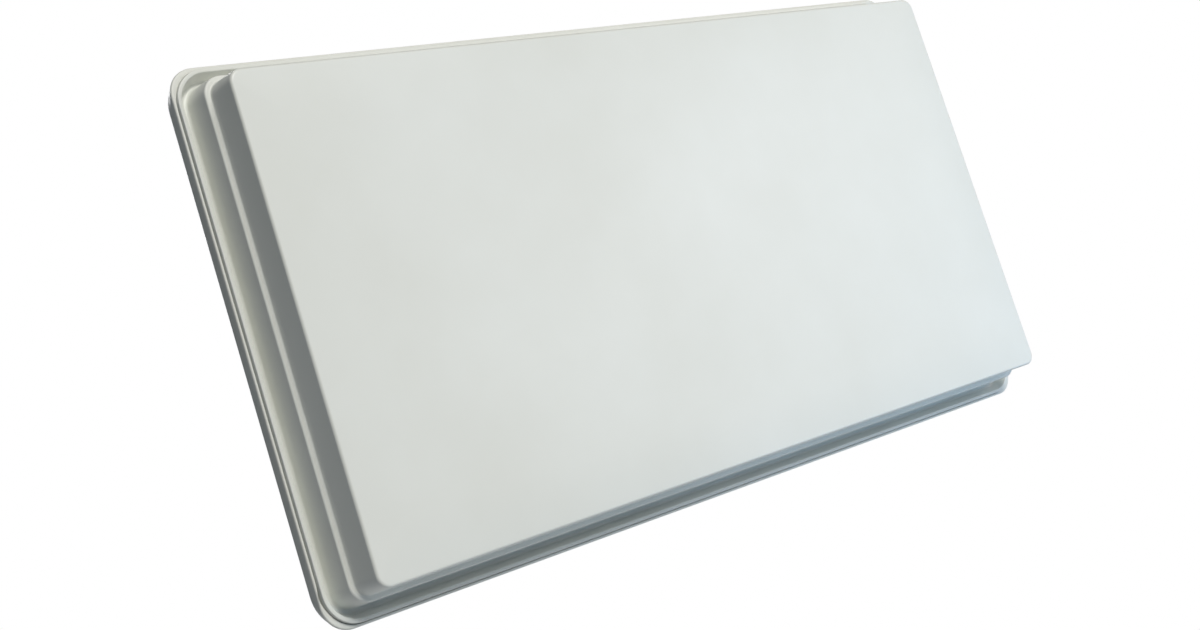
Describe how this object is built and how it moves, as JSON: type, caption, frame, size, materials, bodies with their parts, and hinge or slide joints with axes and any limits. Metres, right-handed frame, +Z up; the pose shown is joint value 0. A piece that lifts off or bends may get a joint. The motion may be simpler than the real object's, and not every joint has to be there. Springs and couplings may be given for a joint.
{
  "type": "flat satellite antenna",
  "caption": "Flat rectangular satellite antenna: a stepped plastic cover over an array of horns, with a rear converter, outputs and a tilting, skewing mast clamp.",
  "frame": {"origin": "on the axis of the mast that the rear clamp grips, level with the centre of the panel", "axes": "+Z up along the mast, +X to the right seen from the front, the panel faces -Y"},
  "size_m": [0.544, 0.274, 0.284],
  "materials": {
    "cover_plastic": "satin, light grey-white, weather-proof",
    "housing_plastic": "fine moulded texture",
    "rubber": "matt",
    "metallised_plate": "vacuum metallised, satin",
    "cast_aluminium": "die cast",
    "circuit_board": "solder resist",
    "brass": "turned",
    "nickel_plate": "nickel plated",
    "vent_plastic": "matt",
    "coated_steel": "powder coated, light grey",
    "zinc_steel": "zinc plated"
  },
  "bodies": {
    "mast_clamp": {"clamp_bolt_left": "zinc_steel", "clamp_bolt_right": "zinc_steel", "lock_bolt_left": "zinc_steel", "lock_bolt_right": "zinc_steel", "mast_bracket": "coated_steel", "pivot_bolt_left": "zinc_steel", "pivot_bolt_right": "zinc_steel", "pivot_nut_left": "zinc_steel", "pivot_nut_right": "zinc_steel", "wing_nut_left": "zinc_steel", "wing_nut_right": "zinc_steel"},
    "jaw": {"clamp_jaw": "coated_steel", "clamp_nut_left": "zinc_steel", "clamp_nut_right": "zinc_steel", "clamp_washer_left": "zinc_steel", "clamp_washer_right": "zinc_steel"},
    "tilt_yoke": {"tilt_bracket": "coated_steel"},
    "panel": {"back_plate": "metallised_plate", "connector_nut_a": "nickel_plate", "connector_nut_b": "nickel_plate", "converter_board": "circuit_board", "converter_case": "cast_aluminium", "converter_lid": "cast_aluminium", "cover_screw_1": "zinc_steel", "cover_screw_2": "zinc_steel", "cover_screw_3": "zinc_steel", "cover_screw_4": "zinc_steel", "cover_screw_5": "zinc_steel", "cover_screw_6": "zinc_steel", "cover_screw_7": "zinc_steel", "cover_screw_8": "zinc_steel", "f_connector_a": "nickel_plate", "f_connector_b": "nickel_plate", "feed_plate_front": "metallised_plate", "feed_plate_rear": "metallised_plate", "front_cover": "cover_plastic", "horn_plate": "metallised_plate", "insert_1": "brass", "insert_2": "brass", "insert_3": "brass", "insert_4": "brass", "plate_screw_1": "zinc_steel", "plate_screw_2": "zinc_steel", "plate_screw_3": "zinc_steel", "plate_screw_4": "zinc_steel", "probe_a": "brass", "probe_b": "brass", "rear_housing": "housing_plastic", "rim_gasket": "rubber", "skew_bolt_1": "zinc_steel", "skew_bolt_2": "zinc_steel", "skew_bolt_3": "zinc_steel", "skew_bolt_4": "zinc_steel", "vent_plug": "vent_plastic"},
    "cap_a": {"weather_cap_a": "rubber"},
    "cap_b": {"weather_cap_b": "rubber"}
  },
  "joints": [
    {"name": "tilt", "type": "hinge", "parent": "mast_clamp", "child": "tilt_yoke", "pos_m": [0, -0.072, 0], "axis": [-1, 0, 0], "range_deg": [0, 60]},
    {"name": "skew", "type": "hinge", "parent": "tilt_yoke", "child": "panel", "pos_m": [0, -0.148, 0], "axis": [0, -1, 0], "range_deg": [-25, 25]},
    {"name": "clamp_travel", "type": "slide", "parent": "mast_clamp", "child": "jaw", "axis": [0, 1, 0], "range_m": [-0.018, 0.017]},
    {"name": "cap_pull_a", "type": "slide", "parent": "panel", "child": "cap_a", "axis": [0, 0, -1], "range_m": [0, 0.02]},
    {"name": "cap_pull_b", "type": "slide", "parent": "panel", "child": "cap_b", "axis": [0, 0, -1], "range_m": [0, 0.02]}
  ]
}
